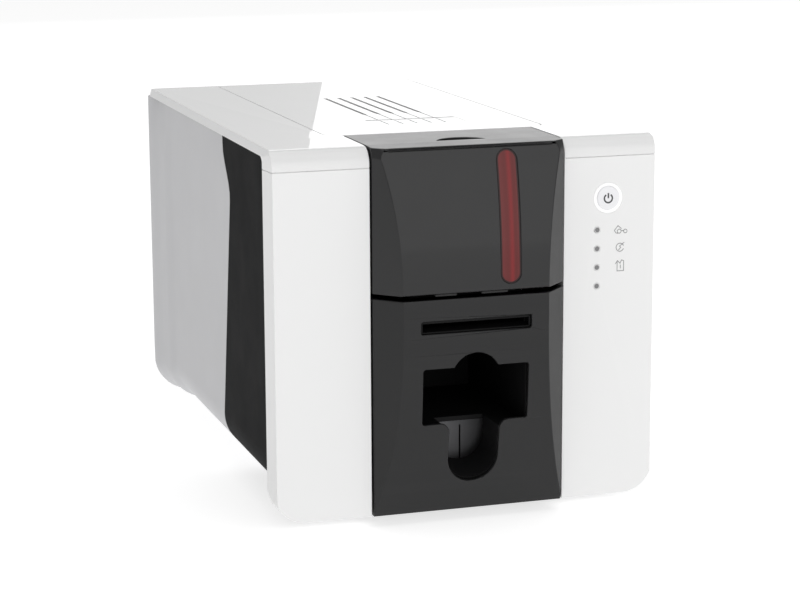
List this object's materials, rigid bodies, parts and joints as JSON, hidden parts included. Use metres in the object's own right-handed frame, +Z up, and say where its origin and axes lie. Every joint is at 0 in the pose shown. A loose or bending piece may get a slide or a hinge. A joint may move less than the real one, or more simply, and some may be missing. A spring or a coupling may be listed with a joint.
{
  "type": "id card printer",
  "caption": "desktop card printer with a white front and lid, a black nosed feeder door over an output hopper, and a ribbon, head and roller drive inside",
  "frame": {"origin": "on the table under the middle of the case's bounding box", "axes": "+Z up, the front faces -Y, +X to the right seen from the front; +Y runs along the depth from front to rear"},
  "size_m": [0.205, 0.31, 0.195],
  "materials": {
    "white_gloss": "smooth moulded, glossy",
    "white_satin": "fine satin texture",
    "black_satin": "satin moulded",
    "black_grain": "fine moulded grain",
    "grey_satin": "fine satin texture",
    "dark_inner": "plain moulded",
    "window_red": "translucent red plastic",
    "steel_plate": "zinc plated",
    "steel_dark": "black zinc plated",
    "steel_bright": "ground",
    "brass": "turned",
    "rubber_black": "matt",
    "nylon": "moulded natural",
    "clean_blue": "tacky sleeve",
    "weight_grey": "moulded",
    "aluminium": "extruded",
    "ceramic": "glazed",
    "film_dark": "wound film",
    "motor_black": "black oxide",
    "motor_steel": "plated can",
    "board_green": "solder resist",
    "socket_metal": "tin plated",
    "button_white": "moulded",
    "lamp_lens": "frosted lens"
  },
  "bodies": {
    "case": {"top_cover": "white_gloss", "hinge_brackets": "steel_plate", "hinge_pins": "steel_bright", "fascia_left": "white_satin", "fascia_right": "white_satin", "body_collar": "black_grain", "side_panel_left": "grey_satin", "side_panel_right": "grey_satin", "rear_panel": "black_grain", "base_plate": "black_grain", "feet": "rubber_black", "case_screws": "steel_bright", "lower_front_panel": "black_satin", "output_hopper": "dark_inner", "card_guides": "dark_inner", "feeder_box": "dark_inner", "feed_belt": "rubber_black", "drive_motor": "motor_black", "roller_bushes": "brass", "chassis_left": "steel_plate", "chassis_right": "steel_plate", "cross_members": "steel_dark", "ribbon_web": "film_dark", "ribbon_motor": "motor_steel", "main_board": "board_green", "rear_sockets": "socket_metal", "status_lamps": "lamp_lens"},
    "lid": {"lid": "white_gloss", "head_bracket": "steel_plate", "heat_sink": "aluminium", "thermal_head": "ceramic", "head_springs": "steel_bright"},
    "door": {"feeder_door": "black_satin", "gauge_window": "window_red"},
    "button": {"power_button": "button_white"},
    "weight": {"card_weight": "weight_grey"},
    "flap": {"diverter_flap": "dark_inner"},
    "platen": {"platen_shaft": "steel_bright", "platen_roller": "rubber_black", "platen_gear": "nylon"},
    "entry": {"entry_shaft": "steel_bright", "entry_roller": "rubber_black", "entry_gear": "nylon"},
    "exit": {"exit_shaft": "steel_bright", "exit_roller": "rubber_black", "exit_gear": "nylon"},
    "pick": {"pick_shaft": "steel_bright", "pick_roller": "rubber_black", "pick_pulley": "nylon"},
    "entry_idler_gear": {"entry_idler": "nylon"},
    "exit_idler_gear": {"exit_idler": "nylon"},
    "reduction": {"reduction_gear": "nylon"},
    "motor_shaft": {"motor_pinion": "brass"},
    "entry_pinch": {"entry_pinch_roller": "steel_bright"},
    "exit_pinch": {"exit_pinch_roller": "steel_bright"},
    "cleaner": {"cleaning_roller": "clean_blue"},
    "takeup": {"takeup_spool": "film_dark", "takeup_gear": "nylon"},
    "ribbon_drive": {"ribbon_pinion": "brass"},
    "supply": {"supply_spool": "film_dark"}
  },
  "joints": [
    {"name": "lid_hinge", "type": "hinge", "parent": "case", "child": "lid", "pos_m": [0, 0.1435, 0.187], "axis": [-1, 0, 0], "range_deg": [0, 75]},
    {"name": "door_hinge", "type": "hinge", "parent": "case", "child": "door", "pos_m": [0, -0.148, 0.128], "axis": [1, 0, 0], "range_deg": [0, 75]},
    {"name": "button_press", "type": "slide", "parent": "case", "child": "button", "axis": [0, 1, 0], "range_m": [0, 0.001], "stiffness_N_per_m": 250},
    {"name": "weight_slide", "type": "slide", "parent": "case", "child": "weight", "axis": [0, 0, 1], "range_m": [0, 0.037]},
    {"name": "flap_turn", "type": "hinge", "parent": "case", "child": "flap", "pos_m": [0, 0.008, 0.0996], "axis": [-1, 0, 0], "range_deg": [0, 12]},
    {"name": "platen_turn", "type": "hinge", "parent": "case", "child": "platen", "pos_m": [0, 0.055, 0.0964], "axis": [1, 0, 0], "continuous": true},
    {"name": "entry_turn", "type": "hinge", "parent": "case", "child": "entry", "pos_m": [0, 0.02, 0.0974], "axis": [1, 0, 0], "continuous": true},
    {"name": "exit_turn", "type": "hinge", "parent": "case", "child": "exit", "pos_m": [0, 0.1, 0.0974], "axis": [1, 0, 0], "continuous": true},
    {"name": "pick_turn", "type": "hinge", "parent": "case", "child": "pick", "pos_m": [0, -0.062, 0.1136], "axis": [1, 0, 0], "continuous": true},
    {"name": "entry_idler_turn", "type": "hinge", "parent": "case", "child": "entry_idler_gear", "pos_m": [0, 0.03746, 0.09554], "axis": [1, 0, 0], "continuous": true},
    {"name": "exit_idler_turn", "type": "hinge", "parent": "case", "child": "exit_idler_gear", "pos_m": [0, 0.07747, 0.09847], "axis": [1, 0, 0], "continuous": true},
    {"name": "reduction_turn", "type": "hinge", "parent": "case", "child": "reduction", "pos_m": [0, 0.05766, 0.06445], "axis": [1, 0, 0], "continuous": true},
    {"name": "motor_turn", "type": "hinge", "parent": "case", "child": "motor_shaft", "pos_m": [0, 0.075, 0.045], "axis": [1, 0, 0], "continuous": true},
    {"name": "entry_pinch_turn", "type": "hinge", "parent": "case", "child": "entry_pinch", "pos_m": [0, 0.02, 0.1099], "axis": [1, 0, 0], "continuous": true},
    {"name": "exit_pinch_turn", "type": "hinge", "parent": "case", "child": "exit_pinch", "pos_m": [0, 0.1, 0.1099], "axis": [1, 0, 0], "continuous": true},
    {"name": "cleaner_turn", "type": "hinge", "parent": "case", "child": "cleaner", "pos_m": [0, -0.0024, 0.1104], "axis": [1, 0, 0], "continuous": true},
    {"name": "takeup_turn", "type": "hinge", "parent": "case", "child": "takeup", "pos_m": [0, 0.004, 0.14], "axis": [1, 0, 0], "continuous": true},
    {"name": "ribbon_drive_turn", "type": "hinge", "parent": "case", "child": "ribbon_drive", "pos_m": [0, 0.004, 0.11894], "axis": [1, 0, 0], "continuous": true},
    {"name": "supply_turn", "type": "hinge", "parent": "case", "child": "supply", "pos_m": [0, 0.092, 0.14], "axis": [1, 0, 0], "continuous": true}
  ],
  "couplings": [
    {"joint": "entry_turn", "follows": "platen_turn", "ratio": 1},
    {"joint": "exit_turn", "follows": "platen_turn", "ratio": 1},
    {"joint": "pick_turn", "follows": "platen_turn", "ratio": 1},
    {"joint": "entry_idler_turn", "follows": "platen_turn", "ratio": -2.1818},
    {"joint": "exit_idler_turn", "follows": "platen_turn", "ratio": -1.1429},
    {"joint": "reduction_turn", "follows": "platen_turn", "ratio": -0.6},
    {"joint": "motor_turn", "follows": "platen_turn", "ratio": 2},
    {"joint": "entry_pinch_turn", "follows": "platen_turn", "ratio": -1.5909},
    {"joint": "exit_pinch_turn", "follows": "platen_turn", "ratio": -1.5909},
    {"joint": "ribbon_drive_turn", "follows": "takeup_turn", "ratio": -2.5},
    {"joint": "supply_turn", "follows": "takeup_turn", "ratio": 0.63014}
  ]
}
